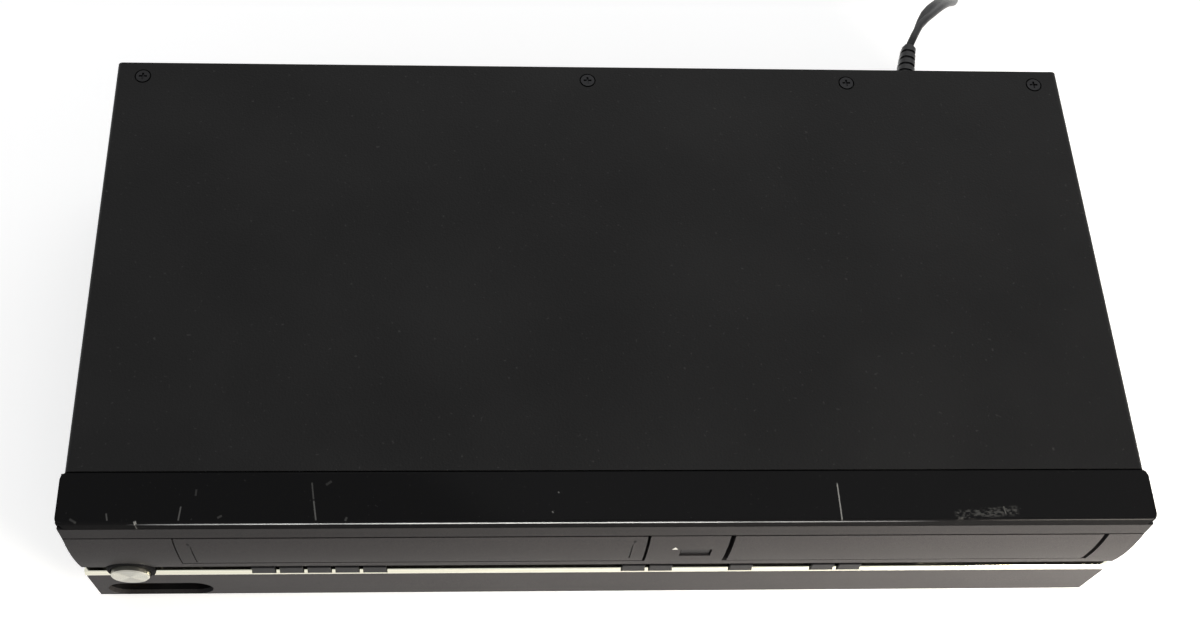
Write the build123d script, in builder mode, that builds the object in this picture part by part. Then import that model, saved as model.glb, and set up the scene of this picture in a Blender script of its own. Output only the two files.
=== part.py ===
from build123d import *
import os
from math import cos, pi, radians, sin, sqrt, tan

os.makedirs("parts", exist_ok=True)

# Disc and cassette combination deck, in millimetres. +X runs to the right of the front, +Y to the back
# and +Z up. The origin is on the table, under the middle of the footprint (cord left out).

# Overall sizes
unit_width = 435.0
unit_depth = 233.0          # power button's face to the ends of the rear jacks
unit_height = 94.0
foot_height = 6.0
sheet = 0.8                 # steel of the cover
chassis_sheet = 1.0         # steel of the pan, the rear panel and the brackets
running_gap = 0.3           # between a moving piece and what guides it
pivot_gap = 0.05            # radial clearance of a pin in its hole

# Front, from the top down
band_lip = 5.4
trim_gap = 0.3
trim_height = 8.3
panel_gap = 0.8
upper_height = 33.0
groove_height = 6.2
chrome_height = 4.6
chrome_gap = 0.4
floor_gap = 0.2             # front panel above the underside of the pan
cap_bottom = unit_height - band_lip
trim_top = cap_bottom - trim_gap
trim_bottom = trim_top - trim_height
upper_top = trim_bottom - panel_gap
upper_bottom = upper_top - upper_height
chrome_top = upper_bottom - groove_height
chrome_bottom = chrome_top - chrome_height
lower_top = chrome_bottom - chrome_gap
lower_bottom = foot_height + floor_gap

# Front, from the nominal face inward
knob_proud = 3.3
panel_thickness = 2.6
plate_thickness = 2.0
fascia_depth = 23.2
fascia_wall = 2.5
band_corner = 3.2
edge_round = 1.2
face_y = -unit_depth / 2 + knob_proud
panel_back = face_y + panel_thickness
plate_back = panel_back + plate_thickness
fascia_back = face_y + fascia_depth

# Rear
jack_proud = 8.5
rear_outer = unit_depth / 2 - jack_proud
rear_inner = rear_outer - chassis_sheet
cover_overhang = 0.5
cover_step = 1.5            # fascia beyond the cover, each side
cover_width = unit_width - 2 * cover_step
cover_back = rear_outer + cover_overhang

# Doors. What the two openings leave of the width is shared between the ends and the middle.
vcr_mouth_width = 190.6
dvd_mouth_width = 155.0
mouth_height = 27.2
left_space = 21.6           # least width that takes the power button
middle_space = 18.66        # least width that takes the open/close button
right_space = 5.14
left_share = 0.475
middle_share = 0.31
knob_share = 0.2045
eject_share = 0.24
slack = unit_width - vcr_mouth_width - dvd_mouth_width - left_space - middle_space - right_space
vcr_mouth_left = -unit_width / 2 + left_space + left_share * slack
vcr_mouth_right = vcr_mouth_left + vcr_mouth_width
dvd_mouth_left = vcr_mouth_right + middle_space + middle_share * slack
dvd_mouth_right = dvd_mouth_left + dvd_mouth_width
mouth_bottom = upper_top - mouth_height
vcr_door_gap_left = 0.6
vcr_door_gap_right = 1.2
dvd_door_gap = 2.0
door_bottom_gap = 0.9
door_top_gap = 0.2
door_skin = 2.0
hinge_rise = 4.4            # hinge axis above the upper panel
hinge_z = upper_top + hinge_rise
hinge_inset = 4.9           # hinge axis behind the nominal face
hinge_pin_r = 1.2
ear_thickness = 1.8
ear_r = 2.0
lug_thickness = 2.4
hinge_y = face_y + hinge_inset
vcr_mid = (vcr_mouth_left + vcr_mouth_right) / 2
line_width = 0.5            # lines cut into the cassette door
line_depth = 0.35

# Power button
knob_x = -unit_width / 2 + left_space / 2 + knob_share * slack
knob_z = chrome_top + 2.5
knob_r = 7.9
ring_r = 9.9
ring_gap = 0.4
ring_wall = 1.6
ring_proud = 1.0
knob_stem_r = 3.0
knob_travel = 1.5

# Small buttons in the groove
button_width = 9.5
button_bottom = chrome_bottom + 3.1
button_top = upper_bottom - 1.2
button_pitch = 11.6
button_proud = 0.5
button_depth = 2.6
button_stem_width = 6.0
button_stem_height = 4.0
button_notch = 0.35
switch_height = 5.0
switch_gap = 0.95
button_groups = (
    (vcr_mouth_left + 31.9, ("vcr_eject_button", "vcr_rewind_button", "vcr_play_button",
                             "vcr_forward_button", "vcr_record_button")),
    (vcr_mouth_right - 3.5, ("channel_down_button", "channel_up_button")),
    (dvd_mouth_left + 10.0, ("source_select_button",)),
    (dvd_mouth_left + 44.9, ("dvd_stop_button", "dvd_play_button")))
button_centres = {name: first + index * button_pitch
                  for first, names in button_groups for index, name in enumerate(names)}

# Open/close button
eject_x = vcr_mouth_right + middle_space / 2 + eject_share * slack
eject_z = upper_top - 16.2
eject_width = 12.9
eject_height = 7.4
eject_gap = 0.3
eject_sunk = 0.6

# Front jack cup
cup_x = -unit_width / 2 + 27.4
cup_z = lower_bottom + 9.1
cup_width = 44.6
cup_height = 16.2
cup_wall = 1.0
cup_depth = 13.0
cup_play = 0.1
front_jack_pitch = 13.0

# Phono jacks and aerial connectors
barrel_r = 4.15
barrel_wall = 0.5
barrel_length = 6.5
insert_flange_r = 5.5
insert_flange = 2.0
insert_hole_r = 1.6
insert_hole_depth = 6.0
aerial_x = 66.0 - cover_width / 2
jack_columns = (aerial_x + 54.0, aerial_x + 68.0, aerial_x + 96.0)
jack_rows = (30.0, 45.0, 60.0)
aerial_rows = (32.0, 58.0)
aerial_r = 4.75
aerial_hex_r = 6.5
aerial_hex = 2.0

# Cover screws
screw_inset = 12.0
screw_x = (screw_inset - cover_width / 2, -3.3, 116.2, cover_width / 2 - screw_inset)
screw_from_back = 7.5
dimple_r = 3.7
dimple_depth = 1.4
screw_head_r = 3.1
screw_head = 1.5
screw_shank_r = 1.5
screw_length = 8.0
screw_hole_r = 1.6


def keep(piece, name):
    """Label a finished piece and write its file."""
    piece.part.label = name
    export_step(piece.part, f"parts/{name}.step")


def slab(x0, x1, y0, y1, z0, z1, mode=Mode.ADD):
    """A block between two corners, inside the current part."""
    with Locations(((x0 + x1) / 2, (y0 + y1) / 2, (z0 + z1) / 2)):
        Box(x1 - x0, y1 - y0, z1 - z0, mode=mode)


def rod(x, y, z0, z1, radius, mode=Mode.ADD):
    """An upright cylinder between two heights."""
    with Locations((x, y, (z0 + z1) / 2)):
        Cylinder(radius, z1 - z0, mode=mode)


def rod_back(x, z, y0, y1, radius, mode=Mode.ADD):
    """A cylinder that runs front to back."""
    with Locations((x, (y0 + y1) / 2, z)):
        Cylinder(radius, y1 - y0, rotation=(90, 0, 0), mode=mode)


def rod_across(y, z, x0, x1, radius, mode=Mode.ADD):
    """A cylinder that runs left to right."""
    with Locations(((x0 + x1) / 2, y, z)):
        Cylinder(radius, x1 - x0, rotation=(0, 90, 0), mode=mode)


# Fascia moulding
half_width = unit_width / 2
cap_front = face_y + 1.2
band_thickness = 2.5
plate_edge = half_width - fascia_wall
bay_top = hinge_z + ear_r + 1.3
switch_board_front = panel_back + 11.0
stem_end = switch_board_front - switch_height - switch_gap
eject_board_tab = (eject_x - 11.0, eject_x + 11.0)
key_board_top = upper_bottom - 0.7
cup_floor = panel_back + cup_depth
button_mid = (button_bottom + button_top) / 2
stem_half_width = button_stem_width / 2
stem_half_height = button_stem_height / 2
stem_points = [(centre, button_mid) for centre in button_centres.values()] + [(eject_x, eject_z)]

with BuildPart() as front_fascia:
    with BuildSketch(Plane.XY.offset(unit_height)):
        with Locations((0, (cap_front + fascia_back) / 2)):
            RectangleRounded(unit_width, fascia_back - cap_front, band_corner)
    extrude(amount=-band_thickness)
    fillet(front_fascia.faces().sort_by(Axis.Z)[-1].edges(), edge_round)
    with BuildSketch(Plane.XY.offset(cap_bottom)):
        with Locations((0, (cap_front + fascia_back) / 2)):
            RectangleRounded(unit_width, fascia_back - cap_front, band_corner)
        with Locations((0, (panel_back + fascia_back + 1) / 2)):
            Rectangle(unit_width + 2, fascia_back + 1 - panel_back, mode=Mode.SUBTRACT)
    extrude(amount=unit_height - band_thickness - cap_bottom)
    slab(-plate_edge, plate_edge, panel_back, plate_back, lower_bottom, unit_height - band_thickness)
    slab(-plate_edge, plate_edge, plate_back, fascia_back, lower_bottom, lower_bottom + fascia_wall)
    for side in (-1, 1):
        wall = sorted((side * half_width, side * plate_edge))
        slab(*wall, panel_back, fascia_back, lower_bottom, unit_height - band_thickness)
    slab(vcr_mouth_left, vcr_mouth_right, panel_back - 1, plate_back + 1, mouth_bottom, bay_top,
         Mode.SUBTRACT)
    slab(dvd_mouth_left, dvd_mouth_right, panel_back - 1, plate_back + 1, mouth_bottom, trim_bottom,
         Mode.SUBTRACT)
    for edge, side in ((vcr_mouth_left, -1), (vcr_mouth_right, 1)):
        lug = sorted((edge, edge + side * lug_thickness))
        slab(*lug, plate_back, hinge_y + 4.5, hinge_z - 3.5, bay_top)
        rod_across(hinge_y, hinge_z, lug[0] - 1, lug[1] + 1, hinge_pin_r + pivot_gap, Mode.SUBTRACT)
    for x, z in stem_points:
        slab(x - stem_half_width - running_gap, x + stem_half_width + running_gap, panel_back - 1,
             plate_back + 1, z - stem_half_height - running_gap, z + stem_half_height + running_gap,
             Mode.SUBTRACT)
    rod_back(knob_x, knob_z, panel_back - 1, plate_back + 1, knob_stem_r + running_gap, Mode.SUBTRACT)
    with BuildSketch(Plane.XZ.offset(-cup_floor - cup_wall - cup_play)):
        with Locations((cup_x, cup_z)):
            SlotOverall(cup_width + 2 * cup_wall + 2 * cup_play, cup_height + 2 * cup_wall + 2 * cup_play)
    extrude(amount=cup_depth + cup_wall + 2 * cup_play, mode=Mode.SUBTRACT)
keep(front_fascia, "front_fascia")

# Trim, panels and bright strip
with BuildPart() as upper_trim:
    with BuildSketch(Plane.YZ.offset(-half_width)):
        with BuildLine():
            Polyline((panel_back, trim_bottom), (face_y + 0.5, trim_bottom), (face_y + 1.1, trim_top),
                     (panel_back, trim_top), close=True)
        make_face()
    extrude(amount=unit_width)
    fillet(upper_trim.edges().filter_by(Axis.Z, tolerance=5).group_by(Axis.Y)[0], 0.6)
keep(upper_trim, "upper_trim")

bulge = 1.0
bulge_z = upper_bottom + 17.8
door_span = (vcr_mouth_left + vcr_door_gap_left, vcr_mouth_right - vcr_door_gap_right)
tray_door_span = (dvd_mouth_left + dvd_door_gap, dvd_mouth_right - dvd_door_gap)


def front_curve(back):
    """The bowed upper face as a closed outline, with its back at a given depth."""
    with BuildLine() as outline:
        ThreePointArc((face_y + 0.4, upper_top), (face_y - bulge, bulge_z), (face_y - 0.1, upper_bottom))
        Polyline((face_y - 0.1, upper_bottom), (back, upper_bottom), (back, upper_top),
                 (face_y + 0.4, upper_top))
    make_face(outline.edges())


with BuildPart() as upper_front_panel:
    with BuildSketch(Plane.YZ.offset(-half_width)):
        front_curve(panel_back)
    extrude(amount=unit_width)
    fillet(upper_front_panel.edges().filter_by(lambda edge: abs(edge.center().X) > half_width - 0.01
           and edge.center().Y < face_y + 0.1 and edge.length > 20), 0.6)
    for left, right in ((vcr_mouth_left, vcr_mouth_right), (dvd_mouth_left, dvd_mouth_right)):
        slab(left, right, face_y - 5, panel_back + 1, mouth_bottom, upper_top + 1, Mode.SUBTRACT)
    slab(eject_x - eject_width / 2, eject_x + eject_width / 2, face_y - 5, panel_back + 1,
         eject_z - eject_height / 2, eject_z + eject_height / 2, Mode.SUBTRACT)
    rod_back(knob_x, knob_z, face_y - 5, panel_back + 1, ring_r + ring_gap, Mode.SUBTRACT)
keep(upper_front_panel, "upper_front_panel")

with BuildPart() as chrome_strip:
    with BuildSketch(Plane.YZ.offset(-half_width)):
        with BuildLine():
            ThreePointArc((face_y + 0.5, chrome_top), (face_y - 0.5, (chrome_top + chrome_bottom) / 2),
                          (face_y, chrome_bottom))
            Polyline((face_y, chrome_bottom), (panel_back, chrome_bottom), (panel_back, chrome_top),
                     (face_y + 0.5, chrome_top))
        make_face()
    extrude(amount=unit_width)
    for centre in button_centres.values():
        slab(centre - button_width / 2 - button_notch, centre + button_width / 2 + button_notch,
             face_y - 3, panel_back + 1, button_bottom - button_notch, chrome_top + 1, Mode.SUBTRACT)
    rod_back(knob_x, knob_z, face_y - 3, panel_back + 1, ring_r + ring_gap, Mode.SUBTRACT)
keep(chrome_strip, "chrome_strip")

with BuildPart() as lower_front_panel:
    with BuildSketch(Plane.YZ.offset(-half_width)):
        with BuildLine():
            Polyline((face_y, lower_top), (face_y + 0.6, lower_bottom + 0.8), (face_y + 1.4, lower_bottom),
                     (panel_back, lower_bottom), (panel_back, lower_top), close=True)
        make_face()
    extrude(amount=unit_width)
    with BuildSketch(Plane.XZ.offset(-panel_back - 1)):
        with Locations((cup_x, cup_z)):
            SlotOverall(cup_width, cup_height)
    extrude(amount=panel_thickness + 4, mode=Mode.SUBTRACT)
    rod_back(knob_x, knob_z, face_y - 3, panel_back + 1, ring_r + ring_gap, Mode.SUBTRACT)
keep(lower_front_panel, "lower_front_panel")

# Jack cup
with BuildPart() as jack_recess:
    with BuildSketch(Plane.XZ.offset(-cup_floor - cup_wall)):
        with Locations((cup_x, cup_z)):
            SlotOverall(cup_width + 2 * cup_wall, cup_height + 2 * cup_wall)
    extrude(amount=cup_depth + cup_wall)
    with BuildSketch(Plane.XZ.offset(-cup_floor)):
        with Locations((cup_x, cup_z)):
            SlotOverall(cup_width, cup_height)
    extrude(amount=cup_depth, mode=Mode.SUBTRACT)
    front_jack_xs = [cup_x + step * front_jack_pitch for step in (-1, 0, 1)]
    for x in front_jack_xs:
        rod_back(x, cup_z, cup_floor - 1, cup_floor + cup_wall + 1, insert_flange_r + 0.1, Mode.SUBTRACT)
keep(jack_recess, "jack_recess")

# Power button and its collar
with BuildPart() as power_ring:
    rod_back(knob_x, knob_z, face_y - ring_proud, panel_back, ring_r)
    rod_back(knob_x, knob_z, face_y - ring_proud - 1, panel_back + 1, ring_r - ring_wall, Mode.SUBTRACT)
    chamfer(power_ring.faces().sort_by(Axis.Y)[0].edges().sort_by(SortBy.RADIUS)[-1], 0.6)
keep(power_ring, "power_ring")

with BuildPart() as power_button:
    rod_back(knob_x, knob_z, face_y - knob_proud, panel_back - knob_travel - running_gap, knob_r)
    chamfer(power_button.faces().sort_by(Axis.Y)[0].edges(), 0.5)
    rod_back(knob_x, knob_z, panel_back - knob_travel - running_gap,
             switch_board_front - switch_height - knob_travel - 0.2, knob_stem_r)
keep(power_button, "power_button")

# Small buttons
for name, centre in button_centres.items():
    with BuildPart() as button:
        slab(centre - button_width / 2, centre + button_width / 2, face_y - button_proud,
             face_y - button_proud + button_depth - 1.0, button_bottom, button_top)
        fillet(button.faces().sort_by(Axis.Y)[0].edges(), 0.4)
        slab(centre - stem_half_width, centre + stem_half_width, face_y - button_proud + button_depth - 1.0,
             stem_end, button_mid - stem_half_height, button_mid + stem_half_height)
    keep(button, name)

eject_front = face_y - 0.9 + eject_sunk
with BuildPart() as open_close_button:
    slab(eject_x - eject_width / 2 + eject_gap, eject_x + eject_width / 2 - eject_gap, eject_front,
         eject_front + 1.6, eject_z - eject_height / 2 + eject_gap, eject_z + eject_height / 2 - eject_gap)
    fillet(open_close_button.faces().sort_by(Axis.Y)[0].edges(), 0.4)
    slab(eject_x - stem_half_width, eject_x + stem_half_width, eject_front + 1.6, stem_end,
         eject_z - stem_half_height, eject_z + stem_half_height)
keep(open_close_button, "open_close_button")

# Front key board with its switches
board_thickness = 1.6
board_step = chrome_bottom - 8.9
switch_half = 3.0
board_foot_left = cup_x + cup_width / 2 + cup_wall + 0.8
with BuildPart() as front_circuit_board:
    slab(5.5 - half_width, button_centres["dvd_play_button"] + 12, switch_board_front,
         switch_board_front + board_thickness, board_step, key_board_top)
    slab(*eject_board_tab, switch_board_front, switch_board_front + board_thickness, key_board_top,
         eject_z + 9)
    slab(board_foot_left, board_foot_left + 106, switch_board_front,
         switch_board_front + board_thickness, lower_bottom + fascia_wall, board_step)
    for x, z in stem_points + [(knob_x, knob_z)]:
        slab(x - switch_half, x + switch_half, switch_board_front - switch_height, switch_board_front,
             z - switch_half, z + switch_half)
keep(front_circuit_board, "front_circuit_board")

# Cassette door
door_z0 = mouth_bottom + door_bottom_gap
door_z1 = upper_top - door_top_gap
with BuildPart() as cassette_door:
    with BuildSketch(Plane.YZ.offset(door_span[0])):
        front_curve(panel_back - 0.2)
    extrude(amount=door_span[1] - door_span[0])
    slab(door_span[0] - 1, door_span[1] + 1, face_y - 5, panel_back + 1, 0, door_z0, Mode.SUBTRACT)
    slab(door_span[0] - 1, door_span[1] + 1, face_y - 5, panel_back + 1, door_z1, 200, Mode.SUBTRACT)
    slab(door_span[0] + 3, door_span[1] - 3, face_y + door_skin - 0.9, panel_back + 1, door_z0 + 2,
         door_z1 - 3, Mode.SUBTRACT)
    for x, foot, head in ((door_span[0] + 5.9, 1.6, 5.0), (door_span[1] - 5.7, 4.0, 4.0)):
        slab(x - line_width / 2, x + line_width / 2, face_y - 5, face_y - line_depth, door_z0 + foot,
             door_z1 - head, Mode.SUBTRACT)
    for side, edge in ((1, door_span[0]), (-1, door_span[1])):
        ear = sorted((edge, edge + side * ear_thickness))
        with BuildSketch(Plane.YZ.offset(ear[0])):
            with BuildLine():
                Polyline((panel_back - 0.2, door_z1 - 6), (panel_back - 0.2, door_z1),
                         (panel_back + running_gap, door_z1), (hinge_y - ear_r, hinge_z),
                         (hinge_y + ear_r, hinge_z), (hinge_y + ear_r - 0.6, door_z1 - 1),
                         (panel_back - 0.2, door_z1 - 6))
            make_face()
            with Locations((hinge_y, hinge_z)):
                Circle(ear_r)
        extrude(amount=ear_thickness)
        pin = sorted((edge, edge - side * (lug_thickness + 0.4)))
        rod_across(hinge_y, hinge_z, *pin, hinge_pin_r)
keep(cassette_door, "cassette_door")

# Disc tray, its door and rack
tray_bottom = mouth_bottom + 10.0
tray_top = tray_bottom + 7.0
tray_width = 133.2
tray_rear = face_y + 155.2
disc_x = dvd_mouth_left + 77.1
disc_y = face_y + 69.2
disc_recess_r = 60.5
disc_recess = 3.2
gear_module = 1.0
gear_teeth = 18
gear_y = face_y + 21.2
rack_back_x = disc_x - tray_width / 2 + 6.0
rack_width = 6.0
rack_depth = 2.8
tooth_backlash = 0.35
pitch_r = gear_module * gear_teeth / 2
rack_pitch_x = rack_back_x + rack_width
gear_x = rack_pitch_x + pitch_r
tray_travel = 132.0
tray_left = disc_x - tray_width / 2
tray_right = disc_x + tray_width / 2
tray_front = panel_back

with BuildPart() as tray_door:
    with BuildSketch(Plane.YZ.offset(tray_door_span[0])):
        front_curve(panel_back)
    extrude(amount=tray_door_span[1] - tray_door_span[0])
    slab(tray_door_span[0] - 1, tray_door_span[1] + 1, face_y - 5, panel_back + 1, 0,
         mouth_bottom + 0.6, Mode.SUBTRACT)
    slab(tray_door_span[0] - 1, tray_door_span[1] + 1, face_y - 5, panel_back + 1,
         upper_top - door_top_gap, 200, Mode.SUBTRACT)
keep(tray_door, "tray_door")


def tooth_outline(pitch_line, toward, middle, base):
    """One straight-sided tooth of a rack, as four corners."""
    half_pitch = pi * gear_module / 4 - tooth_backlash / 2
    flank = tan(radians(20))
    tip = pitch_line + toward * 0.8 * gear_module
    root = pitch_line - toward * (1.1 * gear_module + base)
    half_tip = half_pitch - 0.8 * gear_module * flank
    half_root = half_pitch + (1.1 * gear_module + base) * flank
    return ((root, middle - half_root), (tip, middle - half_tip), (tip, middle + half_tip),
            (root, middle + half_root))


with BuildPart() as disc_tray:
    slab(tray_left, tray_right, tray_front, tray_rear, tray_bottom, tray_top)
    rod(disc_x, disc_y, tray_top - disc_recess, tray_top + 1, disc_recess_r, Mode.SUBTRACT)
    rod(disc_x, disc_y, tray_bottom - 1, tray_top + 1, 22.0, Mode.SUBTRACT)
    slab(disc_x - 22, disc_x + 22, disc_y, tray_rear - 10, tray_bottom - 1, tray_top + 1, Mode.SUBTRACT)
    slab(tray_left + 7.0, tray_right - 7.0, disc_y + disc_recess_r + 3, tray_rear - 6, tray_top - 4.0,
         tray_top + 1, Mode.SUBTRACT)
    slab(rack_back_x, rack_pitch_x - 1.1 * gear_module, gear_y - 6, tray_rear, tray_bottom - rack_depth,
         tray_bottom)
    with BuildSketch(Plane.XY.offset(tray_bottom - rack_depth)):
        pitch = pi * gear_module
        for step in range(-1, int((tray_travel + 6) / pitch)):
            with BuildLine():
                Polyline(*tooth_outline(rack_pitch_x, 1, gear_y + (step + 0.5) * pitch, 0.2), close=True)
            make_face()
    extrude(amount=rack_depth)
keep(disc_tray, "disc_tray")

with BuildPart() as tray_gear:
    with BuildSketch(Plane.XY.offset(tray_bottom - rack_depth + 0.2)):
        with Locations((gear_x, gear_y)):
            Circle(pitch_r - 1.15 * gear_module)
        for tooth in range(gear_teeth):
            turn = 180 + 360 * tooth / gear_teeth
            corners = tooth_outline(pitch_r, 1, 0, 0.6)
            with BuildLine():
                Polyline(*[Vector(x, y).rotate(Axis.Z, turn) + Vector(gear_x, gear_y) for x, y in corners],
                         close=True)
            make_face()
        with Locations((gear_x, gear_y)):
            Circle(2.0 + pivot_gap, mode=Mode.SUBTRACT)
    extrude(amount=rack_depth - 0.5)
keep(tray_gear, "tray_gear")

# Loader frame with clamp bridge
floor_top = foot_height + chassis_sheet
board_gap = 14.0            # between the main board and the power board
power_front = rear_inner - 53.0
frame_floor = tray_bottom - 16.0
frame_floor_top = frame_floor + 2.0
frame_top = tray_top + 7.0
frame_wall = 2.4
frame_front = face_y + 8.2
leg_y = power_front - board_gap / 2
frame_rear = leg_y + 1.0
rail_left = tray_left - running_gap
rail_right = tray_right + running_gap
leg_r = 3.0
clamp_hole_r = 11.0
clamp_flange_r = 15.0

with BuildPart() as dvd_loader_frame:
    slab(rail_left - frame_wall, rail_left, frame_front, frame_rear, frame_floor, frame_top)
    slab(rail_right, rail_right + frame_wall, frame_front, frame_rear, frame_floor, frame_top)
    for x0, x1 in ((rail_left, rail_left + 4.0), (rail_right - 4.0, rail_right)):
        slab(x0, x1, frame_front, frame_rear, tray_bottom - running_gap - 1.6, tray_bottom - running_gap)
        slab(x0, x1, frame_front, frame_rear, tray_top + running_gap, tray_top + running_gap + 1.6)
    slab(rail_left, rail_right, frame_front, gear_y + 6, frame_floor, frame_floor_top)
    slab(rail_left, rail_right, frame_rear - 12, frame_rear, frame_floor, frame_floor_top)
    slab(rail_left, rail_right, disc_y - 18, disc_y + 18, frame_top - 2, frame_top)
    rod(disc_x, disc_y, frame_top - 3, frame_top + 1, clamp_hole_r, Mode.SUBTRACT)
    rod(gear_x, gear_y, frame_floor_top, tray_bottom - rack_depth, 4.0)
    rod(gear_x, gear_y, tray_bottom - rack_depth, tray_bottom - 0.4, 2.0)
    for x in (rail_left - frame_wall / 2 - 1, rail_right + frame_wall / 2 + 1):
        for y in (fascia_back + 6, leg_y):
            rod(x, y, floor_top, frame_floor_top, leg_r)
keep(dvd_loader_frame, "dvd_loader_frame")

with BuildPart() as disc_clamp:
    rod(disc_x, disc_y, frame_top + running_gap, frame_top + running_gap + 1.4, clamp_flange_r)
    rod(disc_x, disc_y, tray_top + 1.5, frame_top + running_gap, clamp_hole_r - 0.5)
keep(disc_clamp, "disc_clamp")

# Traverse, turntable and pickup
traverse_z = frame_floor_top + running_gap
traverse_half = 31.0
guide_r = 1.5
pickup_y0 = disc_y + 16.5
pickup_length = 24.0
guide_z = traverse_z + 4.5
guide_offset = 24.0

with BuildPart() as traverse_frame:
    slab(disc_x - traverse_half, disc_x + traverse_half, gear_y + 2, frame_rear - 9, traverse_z,
         traverse_z + 2)
    slab(disc_x - 20, disc_x + 20, disc_y + 14, frame_rear - 18, traverse_z - 1, traverse_z + 3,
         Mode.SUBTRACT)
    for x in (disc_x - guide_offset, disc_x + guide_offset):
        for y in (disc_y + 12, frame_rear - 16):
            slab(x - 2.5, x + 2.5, y - 2, y + 2, traverse_z + 2, guide_z + 2)
        rod_back(x, guide_z, disc_y + 12, frame_rear - 16, guide_r)
    rod(disc_x, disc_y, traverse_z + 2, traverse_z + 6, 12.0)
    rod(disc_x, disc_y, traverse_z + 6, traverse_z + 11, 1.5)
keep(traverse_frame, "traverse_frame")

with BuildPart() as turntable:
    rod(disc_x, disc_y, traverse_z + 6.3, traverse_z + 9.0, 14.5)
    rod(disc_x, disc_y, traverse_z + 9.0, traverse_z + 12.3, 7.4)
    rod(disc_x, disc_y, traverse_z + 5, traverse_z + 11.3, 1.5 + pivot_gap, Mode.SUBTRACT)
keep(turntable, "turntable")

with BuildPart() as laser_pickup:
    slab(disc_x - 18, disc_x + 18, pickup_y0, pickup_y0 + pickup_length, guide_z - 4, guide_z + 4)
    for side in (-1, 1):
        bearing = sorted((disc_x + side * 18, disc_x + side * 30.5))
        slab(*bearing, pickup_y0 + 6, pickup_y0 + 18, guide_z - 2, guide_z + 3)
        rod_back(disc_x + side * guide_offset, guide_z, pickup_y0, pickup_y0 + pickup_length,
                 guide_r + pivot_gap, Mode.SUBTRACT)
    rod(disc_x, pickup_y0 + 10, guide_z + 4, guide_z + 5.2, 4.0)
keep(laser_pickup, "laser_pickup")

# Video deck
deck_z = foot_height + 10.0
deck_sheet = 1.5
deck_top = deck_z + deck_sheet
cassette_width = 187.0
cassette_play = 0.4
carriage_sheet = 1.0
carriage_front = face_y + 37.2
carriage_depth = 50.0
carriage_floor = mouth_bottom + 0.4
carriage_roof = carriage_floor + 26.0
carriage_travel = 56.0
ledge_width = 24.0
bracket_gap = 1.4
bracket_sheet = 1.2
slot_z = carriage_floor + 9.6
slot_drop = 28.0
slide_pin_r = 1.5
inner_half = cassette_width / 2 + cassette_play
outer_half = inner_half + carriage_sheet
bracket_half = outer_half + bracket_gap
pin_ys = (carriage_front + 10, carriage_front + 40)
deck_front = carriage_front - 4.0
bracket_rear = carriage_front + 110.0

with BuildPart() as cassette_carriage:
    for side in (-1, 1):
        wall = sorted((vcr_mid + side * inner_half, vcr_mid + side * outer_half))
        ledge = sorted((vcr_mid + side * (inner_half - ledge_width), vcr_mid + side * outer_half))
        slab(*wall, carriage_front, carriage_front + carriage_depth, carriage_floor - carriage_sheet,
             carriage_roof + carriage_sheet)
        slab(*ledge, carriage_front, carriage_front + carriage_depth, carriage_floor - carriage_sheet,
             carriage_floor)
        slab(*ledge, carriage_front + carriage_depth - carriage_sheet, carriage_front + carriage_depth,
             carriage_floor, carriage_roof)
        for y in pin_ys:
            reach = sorted((vcr_mid + side * outer_half,
                            vcr_mid + side * (bracket_half + bracket_sheet + 0.6)))
            rod_across(y, slot_z, *reach, slide_pin_r)
    slab(vcr_mid - outer_half, vcr_mid + outer_half, carriage_front + 4, carriage_front + carriage_depth,
         carriage_roof, carriage_roof + carriage_sheet)
keep(cassette_carriage, "cassette_carriage")

drum_x = vcr_mid
drum_y = rear_inner - 45.0
drum_r = 31.0
drum_tilt = 6.0
drum_plane = Plane(origin=(drum_x, drum_y, deck_top + 8), x_dir=(1, 0, 0),
                   z_dir=(0, -sin(radians(drum_tilt)), cos(radians(drum_tilt))))
reel_offset = 46.0
reel_y = carriage_front + 54.0
pinch_pivot = Vector(drum_x + 81.7, drum_y + 4.0)
pinch_arm_length = 24.0
pinch_rest = -100.0
pinch_swing = 20.0
roller_r = 6.0
capstan_r = 1.5
roller_rest = pinch_pivot + Vector(pinch_arm_length * cos(radians(pinch_rest)),
                                   pinch_arm_length * sin(radians(pinch_rest)))
roller_closed = pinch_pivot + Vector(pinch_arm_length * cos(radians(pinch_rest - pinch_swing)),
                                     pinch_arm_length * sin(radians(pinch_rest - pinch_swing)))
capstan_at = roller_closed - Vector(roller_r + capstan_r + 0.15, 0)
flywheel_r = 18.0

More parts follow.
